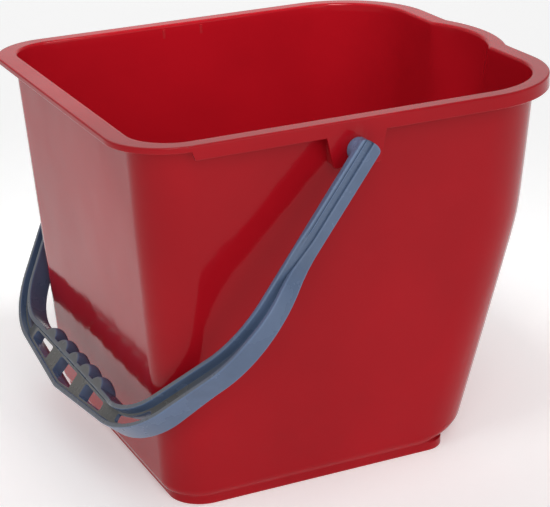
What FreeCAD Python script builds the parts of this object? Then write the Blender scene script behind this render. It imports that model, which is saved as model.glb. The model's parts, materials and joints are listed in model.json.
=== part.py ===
import FreeCAD, Part
import math
import os
from FreeCAD import Vector

# Wash bucket, 13.8 litres to the brim: a moulded tub with a pouring lip, and a swinging
# carry handle that snaps into two ears below the rim.  Millimetres, +Z up.
# The origin is on the standing plane, below the middle of the rim; +X points
# to the pouring lip.

# ---- tub ------------------------------------------------------------------
RIM_Z = 240.0
RIM_END_X = 151.75
RIM_SIDE_Y = 140.0
RIM_R_BACK = 40.0
RIM_R_FRONT = 67.0
RIM_THICK = 3.3
RIM_EDGE_R = 1.0
RIM_SKIRT_Z = 231.0
RIM_SKIRT_FROM_X = -113.0
SKIRT_THICK = 2.4
MOUTH_ROUND = 2.0
MOUTH_ROUND_STEPS = 4

WALL = 2.3
FLOOR_Z = 6.0
FLOOR_THICK = 2.6
KNEE_Z = 148.0
# plan of the outer wall at the floor, at the knee and at the rim:
# height, back end x, front end x, half width, back corner, front corner
WALL_LEVELS = [
    (FLOOR_Z, 125.4, 88.5, 116.9, 26.0, 44.0),
    (KNEE_Z, 134.3, 133.4, 125.0, 28.0, 53.0),
    (RIM_Z, 140.0, 141.2, 131.2, 30.0, 55.0),
]
FLOOR_EDGE_FRONT_R = 9.0
CAVITY_EDGE_R = 7.0

FOOT_BACK_X = 121.4
FOOT_FRONT_X = 66.0
FOOT_SIDE_Y = 115.2
FOOT_R_BACK = 22.0
FOOT_R_FRONT = 15.0
FOOT_THICK = 3.0
FOOT_RIBS_X = (-60.0, 0.0)
FOOT_RIBS_Y = (-40.0, 0.0, 40.0)

# the lip is a round in plan, larger at the edge of the rim than at the mouth
LIP_OUTER_R = 100.0
LIP_OUTER_X = 159.8
LIP_INNER_R = 70.0
LIP_INNER_X = 150.2
LIP_ROOT_X = 131.5
LIP_ROOT_Z = 158.0
LIP_HALF_WIDE = 60.0
LIP_FROM_X = 120.0

# lengths that only have to be larger than the part, or larger than a tolerance
FAR = 250.0
TALL = 20.0
OVERLAP = 1.0
NEAR = 0.01

# ---- ears and handle pivots -------------------------------------------------
PIVOT_X = -10.0
PIVOT_Z = 222.0
EAR_TOP_HALF = 19.5
EAR_BOTTOM_HALF = 15.0
EAR_BOTTOM_Z = 211.5
EAR_CORNER_R = 2.5
EAR_THICK = 2.4
EAR_HOLE_R = 4.60
EAR_RIB_THICK = 2.0
PIN_R = 4.52
PIN_TIP_R = 3.72
PIN_HEAD_R = 5.6
PIN_HEAD_LONG = 3.4
PIN_GAP = 0.35
HUB_R = 8.0
HUB_LONG = 8.0

# ---- carry handle, drawn flat: u runs from the pivots to the grip, -----------
# ---- v across the bucket, t through the thickness ---------------------------
REST_DROP_DEG = 50.4
ARM_END_U = -3.5
ARM_DEPTH = 15.0
GRIP_U = 210.5
GRIP_EXTRA_DEPTH = 2.5
FLANGE_IN = 3.2
FLANGE_OUT = 3.0
FLANGE_OUT_TOP = 6.0
# where the outer flange starts to rise beside the pivots: u and height
FLANGE_OUT_RISE = [(62.0, 0.0), (84.0, 4.2), (128.0, FLANGE_OUT_TOP)]
WEB_LOW = -2.5
WEB_HIGH = 1.5
WEB_FROM_U = 62.0
# along the grip the web is raised almost level with the flanges
GRIP_WEB_HIGH = 4.6
GRIP_WEB_HALF = 70.0
# half outline of the handle, from a pivot to the middle of the grip:
# u, v and the radius of the bend there
OUTER_BENDS = [(75.4, 157.0, 70.0), (125.9, 178.5, 77.0), (221.8, 110.0, 78.0), (232.6, 0.0, 16.0)]
INNER_BENDS = [(130.1, 157.4, 70.0), (GRIP_U, 97.2, 55.0)]
OUTER_START_V = 152.3
INNER_START_V = 147.6
OUTER_SPREAD = 0.060
INNER_SPREAD = 0.075
BEYOND_U = -40.0
BEFORE_U = -20.0
PAST_U = 260.0
DEEPEN_FROM_U = 155.0
DEEPEN_TO_U = 190.0

FINGER_PITCH = 22.66
FINGER_COUNT = 6
FINGER_R = 11.0
FINGER_FLOOR_U = 210.9
RIDGE_CREST_U = 203.6
RIDGE_CROWN = 4.0
RIDGE_BAR_HALF = 56.0

WINDOW_PITCH = 49.0
WINDOW_LONG = 33.0
WINDOW_R = 2.0
WINDOW_FROM_U = 190.0
WINDOW_FROM_INNER = 5.4
WINDOW_FROM_OUTER = 5.0
BEND_CENTRE_U = 155.5
BEND_CENTRE_V = 70.0
BEND_REACH = 130.0
BEND_WINDOW_FROM_DEG = 11.0
BEND_WINDOW_TO_DEG = 44.0
CLEAR_ANGLE_SINE = 0.3


def mixed(low, high, part):
    return [a + (b - a) * part for a, b in zip(low, high)]


def wall_plan(z):
    """Back x, front x, half width and the two corner radii of the outer wall at height z."""
    for low, high in zip(WALL_LEVELS, WALL_LEVELS[1:]):
        if z <= high[0]:
            return mixed(low, high, (z - low[0]) / (high[0] - low[0]))[1:]
    return mixed(WALL_LEVELS[1], WALL_LEVELS[2], (z - KNEE_Z) / (RIM_Z - KNEE_Z))[1:]


def rounded_plan(back, front, side, r_back, r_front, z):
    """A closed rectangle with two back and two front corner radii, as eight edges at height z."""
    arcs = []
    corners = [
        (front - r_front, -side + r_front, r_front, -90.0),
        (front - r_front, side - r_front, r_front, 0.0),
        (-back + r_back, side - r_back, r_back, 90.0),
        (-back + r_back, -side + r_back, r_back, 180.0),
    ]
    for x, y, radius, start in corners:
        points = []
        for turn in (0.0, 45.0, 90.0):
            angle = math.radians(start + turn)
            points.append(Vector(x + radius * math.cos(angle), y + radius * math.sin(angle), z))
        arcs.append(points)
    edges = []
    for index, points in enumerate(arcs):
        edges.append(Part.Arc(*points).toShape())
        following = arcs[(index + 1) % len(arcs)]
        edges.append(Part.LineSegment(points[2], following[0]).toShape())
    return Part.Wire(edges)


def wall_wire(z, inset, plan_z=None):
    back, front, side, r_back, r_front = wall_plan(z if plan_z is None else plan_z)
    return rounded_plan(back - inset, front - inset, side - inset, r_back - inset, r_front - inset, z)


def block(x0, x1, y0, y1, z0, z1):
    return Part.makeBox(x1 - x0, y1 - y0, z1 - z0, Vector(x0, y0, z0))


def upright(wire, z0, z1):
    """A plan wire drawn at height z0, raised to z1."""
    return Part.Face(wire).extrude(Vector(0, 0, z1 - z0))


def edges_where(shape, test):
    return [edge for edge in shape.Edges if test(edge.BoundBox)]


def outer_body():
    wires = [wall_wire(level[0], 0.0) for level in WALL_LEVELS]
    body = Part.makeLoft(wires, True, True)
    corner_x = WALL_LEVELS[0][2] - WALL_LEVELS[0][5]
    at_front = edges_where(body, lambda b: b.ZMax < FLOOR_Z + NEAR and b.XMin > corner_x - NEAR)
    return body.makeFillet(FLOOR_EDGE_FRONT_R, at_front)


def cavity():
    """The hollow of the tub, flared into the top of the rim by a rounded mouth."""
    floor = FLOOR_Z + FLOOR_THICK
    straight = RIM_Z - MOUTH_ROUND
    wires = [wall_wire(z, WALL) for z in (floor, KNEE_Z, straight)]
    body = Part.makeLoft(wires, True, True)
    body = body.makeFillet(CAVITY_EDGE_R, edges_where(body, lambda b: b.ZMax < floor + NEAR))
    mouth = []
    for step in range(MOUTH_ROUND_STEPS + 1):
        angle = math.radians(90.0 * step / MOUTH_ROUND_STEPS)
        grow = MOUTH_ROUND * (1.0 - math.cos(angle))
        mouth.append(wall_wire(straight + MOUTH_ROUND * math.sin(angle), WALL - grow, RIM_Z))
    mouth[0] = wall_wire(straight, WALL)
    flare = Part.makeLoft(mouth, True, True)
    back, front, side, r_back, r_front = wall_plan(RIM_Z)
    spare = WALL - MOUTH_ROUND
    top = rounded_plan(back - spare, front - spare, side - spare, r_back - spare, r_front - spare, RIM_Z)
    return body.fuse([flare, upright(top, RIM_Z, RIM_Z + TALL)])


def rim_plan(inset, z):
    return rounded_plan(
        RIM_END_X - inset, RIM_END_X - inset, RIM_SIDE_Y - inset, RIM_R_BACK - inset, RIM_R_FRONT - inset, z
    )


def rim_block(inset, z0, z1):
    """The outline of the rim with the bulge of the pouring lip, pulled in by inset."""
    plate = upright(rim_plan(inset, z0), z0, z1)
    bulge = Part.makeCylinder(LIP_OUTER_R - inset, z1 - z0, Vector(LIP_OUTER_X - LIP_OUTER_R, 0, z0))
    bulge = bulge.common(block(LIP_FROM_X, FAR, -LIP_HALF_WIDE, LIP_HALF_WIDE, z0, z1))
    return plate.fuse(bulge).removeSplitter()


def rim():
    flange = rim_block(0.0, RIM_Z - RIM_THICK, RIM_Z)
    flange = flange.makeFillet(RIM_EDGE_R, edges_where(flange, lambda b: b.ZMin > RIM_Z - NEAR))
    skirt = rim_block(0.0, RIM_SKIRT_Z, RIM_Z - RIM_THICK)
    skirt = skirt.cut(rim_block(SKIRT_THICK, RIM_SKIRT_Z - OVERLAP, RIM_Z))
    skirt = skirt.cut(block(-FAR, RIM_SKIRT_FROM_X, -FAR, FAR, RIM_SKIRT_Z - OVERLAP, RIM_Z))
    return [flange, skirt]


def leaning_round(radius, x_top, x_root, z_top, z_root):
    """A round column of the lip's radius that leans out from x_root to x_top."""
    wires = []
    for x, z in ((x_root, z_root), (x_top, z_top)):
        circle = Part.Circle(Vector(x - radius, 0, z), Vector(0, 0, 1), radius)
        wires.append(Part.Wire(circle.toShape()))
    return Part.makeLoft(wires, True, True)


def pouring_lip():
    """The shell that carries the lip's scoop, and the scoop itself."""
    lean = (LIP_INNER_X - LIP_ROOT_X) / (RIM_Z - LIP_ROOT_Z)
    shell = leaning_round(LIP_INNER_R + WALL, LIP_INNER_X + WALL, LIP_ROOT_X + WALL, RIM_Z, LIP_ROOT_Z)
    in_front = block(LIP_FROM_X, FAR, -LIP_HALF_WIDE, LIP_HALF_WIDE, LIP_ROOT_Z, RIM_Z - RIM_THICK / 2.0)
    scoop_top = LIP_INNER_X + lean * OVERLAP
    scoop = leaning_round(LIP_INNER_R, scoop_top, LIP_ROOT_X, RIM_Z + OVERLAP, LIP_ROOT_Z)
    return shell.common(in_front), scoop


def ear(side):
    """One ear below the rim, with the two ribs that tie it to the wall; side is +1 or -1."""
    corners = [
        Vector(PIVOT_X - EAR_TOP_HALF, 0, RIM_Z - RIM_THICK),
        Vector(PIVOT_X - EAR_TOP_HALF, 0, RIM_SKIRT_Z),
        Vector(PIVOT_X - EAR_BOTTOM_HALF, 0, EAR_BOTTOM_Z),
        Vector(PIVOT_X + EAR_BOTTOM_HALF, 0, EAR_BOTTOM_Z),
        Vector(PIVOT_X + EAR_TOP_HALF, 0, RIM_SKIRT_Z),
        Vector(PIVOT_X + EAR_TOP_HALF, 0, RIM_Z - RIM_THICK),
    ]
    plate = Part.Face(Part.makePolygon(corners + corners[:1])).extrude(Vector(0, EAR_THICK, 0))
    low = edges_where(plate, lambda b: b.ZMax < EAR_BOTTOM_Z + NEAR and b.XMax - b.XMin < NEAR)
    plate = plate.makeFillet(EAR_CORNER_R, low)
    inner_y = RIM_SIDE_Y - EAR_THICK
    plate.translate(Vector(0, inner_y, 0))
    solids = [plate]
    wall_y = wall_plan(EAR_BOTTOM_Z)[2] - OVERLAP
    rib_low, rib_top = EAR_BOTTOM_Z + EAR_RIB_THICK, RIM_Z - RIM_THICK / 2.0
    for x in (PIVOT_X - EAR_BOTTOM_HALF, PIVOT_X + EAR_BOTTOM_HALF - EAR_RIB_THICK):
        solids.append(block(x, x + EAR_RIB_THICK, wall_y, inner_y + OVERLAP, rib_low, rib_top))
    hole_from = Vector(PIVOT_X, inner_y - OVERLAP, PIVOT_Z)
    hole = Part.makeCylinder(EAR_HOLE_R, EAR_THICK + 2.0 * OVERLAP, hole_from, Vector(0, 1, 0))
    if side < 0:
        plane = Vector(0, 0, 0), Vector(0, 1, 0)
        solids = [solid.mirror(*plane) for solid in solids]
        hole = hole.mirror(*plane)
    return solids, hole


def foot():
    """The standing ring and the ribs inside it, all flush with the standing plane."""
    args = [FOOT_BACK_X, FOOT_FRONT_X, FOOT_SIDE_Y, FOOT_R_BACK, FOOT_R_FRONT]
    inner = [value - FOOT_THICK for value in args]
    top = FLOOR_Z + OVERLAP
    whole = upright(rounded_plan(*args, 0.0), 0.0, top)
    ring = whole.cut(upright(rounded_plan(*inner, 0.0), 0.0, top))
    half = FOOT_THICK / 2.0
    ribs = [block(x - half, x + half, -FOOT_SIDE_Y, FOOT_SIDE_Y, 0.0, top) for x in FOOT_RIBS_X]
    ribs += [block(-FOOT_BACK_X, FOOT_FRONT_X, y - half, y + half, 0.0, top) for y in FOOT_RIBS_Y]
    return ring.fuse([rib.common(whole) for rib in ribs]).removeSplitter()


def tub():
    lip_shell, lip_scoop = pouring_lip()
    pieces = rim() + [lip_shell, foot()]
    holes = []
    for side in (1, -1):
        solids, hole = ear(side)
        pieces += solids
        holes.append(hole)
    body = outer_body().fuse(pieces)
    body = body.cut([cavity(), lip_scoop] + holes)
    return body.removeSplitter()


def bend_path(start, bends, on_middle):
    """Half of a handle outline and its mirror image; on_middle says that the last bend is shared."""
    half = [start] + bends
    mirror = [(u, -v, r) for u, v, r in reversed(half)]
    return half + (mirror[1:] if on_middle else mirror)


def rounded_outline(points):
    """A closed wire through the points, each corner turned by a tangent arc of its radius."""
    count = len(points)
    arcs = []
    for index in range(count):
        u, v, radius = points[index]
        here = Vector(u, v, 0)
        before = Vector(*points[index - 1][:2], 0) - here
        after = Vector(*points[(index + 1) % count][:2], 0) - here
        if radius == 0.0:
            arcs.append((here, None, here))
            continue
        before.normalize()
        after.normalize()
        half = before.getAngle(after) / 2.0
        reach = radius / math.tan(half)
        middle = before + after
        middle.normalize()
        centre = here + middle * (radius / math.sin(half))
        arcs.append((here + before * reach, centre - middle * radius, here + after * reach))
    edges = []
    for index in range(count):
        start, top, end = arcs[index]
        if top is not None:
            edges.append(Part.Arc(start, top, end).toShape())
        following = arcs[(index + 1) % count][0]
        if (following - end).Length > NEAR:
            edges.append(Part.LineSegment(end, following).toShape())
    return Part.Wire(edges)


def handle_areas():
    outer = bend_path((BEYOND_U, OUTER_START_V + BEYOND_U * OUTER_SPREAD, 0.0), OUTER_BENDS, True)
    inner = bend_path((BEYOND_U, INNER_START_V + BEYOND_U * INNER_SPREAD, 0.0), INNER_BENDS, False)
    return Part.Face(rounded_outline(outer)), Part.Face(rounded_outline(inner))


def thick(face, low, high):
    solid = face.extrude(Vector(0, 0, high - low))
    solid.translate(Vector(0, 0, low))
    return solid


def side_shape(points):
    """A side view in u and t, swept right across the handle."""
    wire = Part.makePolygon([Vector(u, -FAR, t) for u, t in points + points[:1]])
    return Part.Face(wire).extrude(Vector(0, 2 * FAR, 0))


def arm_limits():
    """Everything inside the depth of the handle, with the pivot end of each arm rounded."""
    half = ARM_DEPTH / 2.0
    low = half + GRIP_EXTRA_DEPTH
    bottom = [(ARM_END_U, -half), (DEEPEN_FROM_U, -half), (DEEPEN_TO_U, -low), (PAST_U, -low)]
    body = side_shape(bottom + [(PAST_U, half), (ARM_END_U, half)])
    end = Part.makeCylinder(half, 2 * FAR, Vector(ARM_END_U, -FAR, 0), Vector(0, 1, 0))
    return body.fuse(end)


def outer_flange_limits():
    """The outer flange is low beside the pivots and climbs to full height along the arms."""
    low = -ARM_DEPTH / 2.0 - GRIP_EXTRA_DEPTH
    rise = list(reversed(FLANGE_OUT_RISE))
    bottom = [(BEFORE_U, low), (PAST_U, low)]
    return side_shape(bottom + [(PAST_U, FLANGE_OUT_TOP)] + rise + [(BEFORE_U, 0.0)])


def windows(outer_face, inner_face):
    """Five openings through the web of the grip: three straight ones and one in each bend."""
    inside = outer_face.makeOffset2D(-WINDOW_FROM_OUTER)
    outside = inner_face.makeOffset2D(WINDOW_FROM_INNER)
    band = thick(inside, -TALL, TALL).cut(thick(outside, -TALL, TALL))
    cutters = []
    half = WINDOW_LONG / 2.0
    for number in (-1, 0, 1):
        middle = number * WINDOW_PITCH
        cutters.append(band.common(block(WINDOW_FROM_U, FAR, middle - half, middle + half, -TALL, TALL)))
    for side in (1, -1):
        fan = [Vector(BEND_CENTRE_U, side * BEND_CENTRE_V, -TALL)]
        for degrees in (BEND_WINDOW_FROM_DEG, BEND_WINDOW_TO_DEG):
            angle = math.radians(degrees)
            fan.append(fan[0] + Vector(math.cos(angle), side * math.sin(angle), 0) * BEND_REACH)
        sector = Part.Face(Part.makePolygon(fan + fan[:1])).extrude(Vector(0, 0, 2 * TALL))
        cutters.append(band.common(sector))
    return [cutter.makeFillet(WINDOW_R, sharp_uprights(cutter)) for cutter in cutters]


def sharp_uprights(solid):
    """The upright edges of a solid where two of its side faces meet at a clear angle."""
    sharp = []
    for edge in solid.Edges:
        if edge.BoundBox.ZMax - edge.BoundBox.ZMin < TALL:
            continue
        point = edge.valueAt(edge.FirstParameter)
        sides = [face for face in solid.Faces if any(edge.isSame(other) for other in face.Edges)]
        normals = [face.normalAt(*face.Surface.parameter(point)) for face in sides]
        if normals[0].cross(normals[1]).Length > CLEAR_ANGLE_SINE:
            sharp.append(edge)
    return sharp


def finger_ridges():
    """A crowned bar on the inner side of the grip, scooped out for the fingers."""
    half = ARM_DEPTH / 2.0
    low = Vector(RIDGE_CREST_U + RIDGE_CROWN, -RIDGE_BAR_HALF, -half)
    crest = Vector(RIDGE_CREST_U, -RIDGE_BAR_HALF, 0)
    high = Vector(RIDGE_CREST_U + RIDGE_CROWN, -RIDGE_BAR_HALF, half)
    back_low = Vector(GRIP_U + OVERLAP, -RIDGE_BAR_HALF, -half)
    back_high = Vector(GRIP_U + OVERLAP, -RIDGE_BAR_HALF, half)
    edges = [
        Part.Arc(low, crest, high).toShape(),
        Part.LineSegment(high, back_high).toShape(),
        Part.LineSegment(back_high, back_low).toShape(),
        Part.LineSegment(back_low, low).toShape(),
    ]
    bar = Part.Face(Part.Wire(edges)).extrude(Vector(0, 2 * RIDGE_BAR_HALF, 0))
    scoops = []
    for number in range(FINGER_COUNT):
        v = (number - (FINGER_COUNT - 1) / 2.0) * FINGER_PITCH
        scoops.append(Part.makeCylinder(FINGER_R, 2 * TALL, Vector(FINGER_FLOOR_U - FINGER_R, v, -TALL)))
    return bar.cut(scoops)


def pivots():
    """The two hubs, and the pins with their snap heads that hold in the ears."""
    solids = []
    for side in (1, -1):
        out = Vector(0, side, 0)
        hub_from = RIM_SIDE_Y + PIN_GAP
        head_end = RIM_SIDE_Y - EAR_THICK - PIN_GAP
        pin_from = head_end - PIN_HEAD_LONG
        solids.append(Part.makeCylinder(HUB_R, HUB_LONG, Vector(0, side * hub_from, 0), out))
        pin_long = hub_from + OVERLAP - pin_from
        solids.append(Part.makeCylinder(PIN_R, pin_long, Vector(0, side * pin_from, 0), out))
        solids.append(Part.makeCone(PIN_TIP_R, PIN_HEAD_R, PIN_HEAD_LONG, Vector(0, side * pin_from, 0), out))
    return solids


def carry_handle():
    outer_face, inner_face = handle_areas()
    half = ARM_DEPTH / 2.0
    deepest = half + GRIP_EXTRA_DEPTH
    whole = thick(outer_face, -deepest, half).cut(thick(inner_face, -TALL, TALL))
    inner_rail = thick(inner_face.makeOffset2D(FLANGE_IN), -deepest, half)
    rail_side = side_shape([(BEFORE_U, -half), (PAST_U, -half), (PAST_U, half), (BEFORE_U, half)])
    inner_rail = inner_rail.common(whole).common(rail_side)
    outer_rail = whole.cut(thick(outer_face.makeOffset2D(-FLANGE_OUT), -TALL, TALL))
    outer_rail = outer_rail.common(outer_flange_limits())
    web = whole.common(block(WEB_FROM_U, PAST_U, -FAR, FAR, WEB_LOW, WEB_HIGH))
    raised = block(WINDOW_FROM_U, PAST_U, -GRIP_WEB_HALF, GRIP_WEB_HALF, WEB_LOW, GRIP_WEB_HIGH)
    body = inner_rail.fuse([outer_rail, web, whole.common(raised)])
    body = body.common(arm_limits())
    body = body.fuse([finger_ridges()])
    body = body.cut(windows(outer_face, inner_face))
    body = body.fuse(pivots()).removeSplitter()
    drop = math.radians(REST_DROP_DEG)
    sine, cosine = math.sin(drop), math.cos(drop)
    lowered = FreeCAD.Matrix(
        -cosine, 0, -sine, PIVOT_X,
        0, -1, 0, 0,
        -sine, 0, cosine, PIVOT_Z,
        0, 0, 0, 1,
    )
    body.Placement = FreeCAD.Placement(lowered)
    return body


def main():
    os.makedirs("parts", exist_ok=True)
    for name, make in (("tub", tub), ("carry_handle", carry_handle)):
        solids = make().Solids
        if len(solids) != 1 or not solids[0].isValid():
            raise ValueError(name + " is not one sound solid")
        solids[0].exportStep("parts/" + name + ".step")
        print(name, round(solids[0].Volume / 1000.0, 1), "cm3")


main()
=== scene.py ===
import json
import math

import bmesh
import bpy
from bpy.props import FloatProperty, FloatVectorProperty, IntProperty, PointerProperty
from bpy.types import Operator, Panel, PropertyGroup
from mathutils import Matrix, Vector


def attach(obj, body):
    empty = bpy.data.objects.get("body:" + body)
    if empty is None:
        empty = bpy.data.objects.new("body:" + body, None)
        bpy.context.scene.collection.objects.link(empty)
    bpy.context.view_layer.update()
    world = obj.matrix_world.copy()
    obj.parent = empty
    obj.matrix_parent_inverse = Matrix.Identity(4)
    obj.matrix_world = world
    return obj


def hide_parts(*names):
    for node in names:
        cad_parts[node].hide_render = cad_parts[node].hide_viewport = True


bl_info = {
    "name": "Wash Bucket",
    "version": (1, 0, 0),
    "blender": (4, 5, 0),
    "location": "View3D > Sidebar > Wash Bucket",
    "description": "Builds a moulded wash bucket with a swinging carry handle",
    "category": "Add Mesh",
}

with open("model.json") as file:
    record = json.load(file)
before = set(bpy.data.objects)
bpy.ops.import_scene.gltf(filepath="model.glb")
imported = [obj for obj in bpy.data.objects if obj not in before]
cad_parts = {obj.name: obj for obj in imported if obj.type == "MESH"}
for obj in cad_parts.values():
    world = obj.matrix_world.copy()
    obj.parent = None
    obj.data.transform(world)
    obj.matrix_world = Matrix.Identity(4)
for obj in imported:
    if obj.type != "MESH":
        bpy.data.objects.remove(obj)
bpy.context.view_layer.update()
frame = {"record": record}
HINGE = frame["record"]["behaviour"]["joints"][0]
PIVOT = Vector(HINGE["pos_m"]) * 1000.0

# Shapes are worked out in millimetres and stored in metres.
MM = 0.001

# Plan of the outer wall at the floor, at the knee and at the rim: height, how far the back end and
# the front end are from the middle, half width, back corner radius, front corner radius.
WALL_LEVELS = [
    (6.0, 125.4, 88.5, 116.9, 26.0, 44.0),
    (148.0, 134.3, 133.4, 125.0, 28.0, 53.0),
    (240.0, 140.0, 141.2, 131.2, 30.0, 55.0),
]
KNEE_SOFTNESS = 9.0

# ---------------------------------------------------------------------------
# Settings shown in the sidebar
# ---------------------------------------------------------------------------


class TubSettings(PropertyGroup):
    """Driving sizes of the moulded tub, in millimetres"""

    rim_height: FloatProperty(
        name="Rim height", description="Height of the flat top of the rim", default=240.0
    )
    rim_half_length: FloatProperty(
        name="Rim half length", description="From the middle to a straight end", default=151.75
    )
    rim_half_width: FloatProperty(
        name="Rim half width", description="From the middle to a long side", default=140.0
    )
    rim_back_radius: FloatProperty(
        name="Back corner", description="Outer radius of the rim's back corners", default=40.0
    )
    rim_front_radius: FloatProperty(
        name="Front corner", description="Outer radius of the rim's front corners", default=67.0
    )
    rim_thickness: FloatProperty(name="Rim thickness", description="Thickness of the flat rim", default=3.3)
    skirt_bottom: FloatProperty(
        name="Skirt bottom", description="Height of the lower edge of the skirt", default=231.0
    )
    skirt_thickness: FloatProperty(
        name="Skirt thickness", description="Thickness of the skirt", default=2.3
    )
    ear_bottom: FloatProperty(
        name="Ear bottom", description="Height of the lower edge of an ear", default=211.5
    )
    wall: FloatProperty(name="Wall", description="Thickness of the wall", default=2.3)
    floor_top: FloatProperty(name="Floor", description="Height of the inside of the floor", default=8.6)
    mouth_round: FloatProperty(
        name="Mouth round", description="Radius between the rim and the inside", default=2.0
    )
    edge_round: FloatProperty(name="Edge round", description="Radius of the rim's outer edge", default=1.0)
    lip_radius: FloatProperty(
        name="Lip radius", description="Radius of the lip's outer edge", default=100.0
    )
    scoop_radius: FloatProperty(
        name="Scoop radius", description="Radius of the lip's inner edge", default=70.0
    )
    lip_outer: FloatProperty(
        name="Lip outer", description="Furthest point of the lip's outer edge", default=159.75
    )
    lip_inner: FloatProperty(
        name="Lip inner", description="Furthest point of the lip's inner edge", default=150.2
    )
    lip_depth: FloatProperty(
        name="Lip depth", description="How far down the lip fades into the wall", default=82.0
    )


class HandleSettings(PropertyGroup):
    """Driving sizes of the carry handle, in millimetres"""

    rest_drop: FloatProperty(
        name="Rest drop", description="Slope of the lowered handle in degrees", default=50.4, unit="NONE"
    )
    depth: FloatProperty(name="Depth", description="Depth of the arms", default=15.0)
    grip_reach: FloatProperty(
        name="Grip reach", description="From the pivots to the inside of the grip", default=210.5
    )
    inner_flange: FloatProperty(
        name="Inner flange", description="Thickness of the inner flange", default=3.2
    )
    outer_flange: FloatProperty(
        name="Outer flange", description="Thickness of the outer flange", default=3.0
    )
    ridge_count: IntProperty(name="Ridges", description="Finger ridges on the grip", default=5)
    ridge_pitch: FloatProperty(
        name="Ridge pitch", description="Distance between finger ridges", default=22.66
    )
    ridge_height: FloatProperty(name="Ridge height", description="Height of a finger ridge", default=6.0)
    window_pitch: FloatProperty(
        name="Opening pitch", description="Distance between the grip's openings", default=49.0
    )
    window_length: FloatProperty(
        name="Opening length", description="Length of an opening in the grip", default=33.0
    )
    hub_radius: FloatProperty(
        name="Hub radius", description="Radius of the hub beside the ear", default=7.4
    )
    pin_radius: FloatProperty(name="Pin radius", description="Radius of the pivot pin", default=4.52)


class LookSettings(PropertyGroup):
    """Colours and finish of the two mouldings"""

    tub_colour: FloatVectorProperty(
        name="Tub", description="Colour of the tub", subtype="COLOR", size=3, default=(0.365, 0.005, 0.011)
    )
    tub_roughness: FloatProperty(name="Tub roughness", description="Roughness of the tub", default=0.075)
    handle_colour: FloatVectorProperty(
        name="Handle",
        description="Colour of the handle",
        subtype="COLOR",
        size=3,
        default=(0.092, 0.136, 0.228),
    )
    handle_roughness: FloatProperty(
        name="Handle roughness", description="Roughness of the handle", default=0.25
    )


class StageSettings(PropertyGroup):
    """Camera and light"""

    azimuth: FloatProperty(name="Azimuth", description="Where the camera stands", default=-24.19)
    elevation: FloatProperty(name="Elevation", description="How high the camera looks from", default=20.85)
    roll: FloatProperty(name="Roll", description="Turn of the camera about its own axis", default=-1.84)
    lens: FloatProperty(name="Lens", description="Focal length in millimetres", default=123.2)
    position: FloatVectorProperty(
        name="Position",
        description="Camera position",
        size=3,
        default=(-0.4848, -1.0746, 0.5570),
        unit="LENGTH",
    )
    sky: FloatProperty(name="Sky", description="Strength of the surroundings", default=0.42)


# ---------------------------------------------------------------------------
# Small helpers
# ---------------------------------------------------------------------------

# in metres: points closer than this are one point, and faces thinner than this are dropped
WELD = 1e-6
THINNEST = 1e-7
RIB_EDGE = 0.25
TURNED_SIDES = 64


def smooth(low, high, value):
    """0 below low, 1 above high, and an easy curve between."""
    part = min(max((value - low) / (high - low), 0.0), 1.0)
    return part * part * (3.0 - 2.0 * part)


def mixed(low, high, part):
    """Two lists of numbers, mixed one by one."""
    return [a + (b - a) * part for a, b in zip(low, high)]


def turned(points_per_arc, start):
    """Angles of a quarter turn that begins at start, in radians."""
    return [math.radians(start + 90.0 * k / points_per_arc) for k in range(1, points_per_arc)]


def skin(name, rings):
    """A mesh through rings of equally many points, closed flat at the first and last rings."""
    count = len(rings[0])
    verts = [point * MM for ring in rings for point in ring]
    faces = []
    for r in range(len(rings) - 1):
        for k in range(count):
            here = r * count + k
            beside = r * count + (k + 1) % count
            faces.append((here, beside, beside + count, here + count))
    faces.append(tuple(reversed(range(count))))
    faces.append(tuple(range((len(rings) - 1) * count, len(rings) * count)))
    mesh = bpy.data.meshes.new(name)
    mesh.from_pydata(verts, [], faces)
    tidy_mesh(mesh)
    return mesh


def tidy_mesh(mesh):
    """Weld, face outward and shade smooth."""
    work = bmesh.new()
    work.from_mesh(mesh)
    bmesh.ops.remove_doubles(work, verts=work.verts, dist=WELD)
    bmesh.ops.dissolve_degenerate(work, edges=work.edges, dist=THINNEST)
    bmesh.ops.recalc_face_normals(work, faces=work.faces)
    for face in work.faces:
        face.smooth = True
    work.to_mesh(mesh)
    work.free()


def new_object(name, mesh):
    """A new object in the scene, at the origin."""
    obj = bpy.data.objects.new(name, mesh)
    bpy.context.scene.collection.objects.link(obj)
    return obj


def settle(obj):
    """Replace an object's modifiers by their result."""
    graph = bpy.context.evaluated_depsgraph_get()
    graph.update()
    mesh = bpy.data.meshes.new_from_object(obj.evaluated_get(graph), depsgraph=graph)
    obj.modifiers.clear()
    obj.data = mesh


def carve(obj, cutters):
    """Cut each mesh in cutters out of the object."""
    for number, mesh in enumerate(cutters):
        tool = new_object(obj.name + "_cut", mesh)
        cut = obj.modifiers.new("cut" + str(number), "BOOLEAN")
        cut.operation = "DIFFERENCE"
        cut.solver = "EXACT"
        cut.object = tool
        settle(obj)
        bpy.data.objects.remove(tool)


def even_normals(obj, angle):
    """Let large faces decide the shading, and keep edges sharper than the angle crisp."""
    obj.data.set_sharp_from_angle(angle=math.radians(angle))
    even = obj.modifiers.new("even", "WEIGHTED_NORMAL")
    even.keep_sharp = True
    even.weight = 60
    settle(obj)


def joined(name, parts):
    """One mesh from several."""
    work = bmesh.new()
    for part in parts:
        work.from_mesh(part)
    mesh = bpy.data.meshes.new(name)
    work.to_mesh(mesh)
    work.free()
    return mesh


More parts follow.
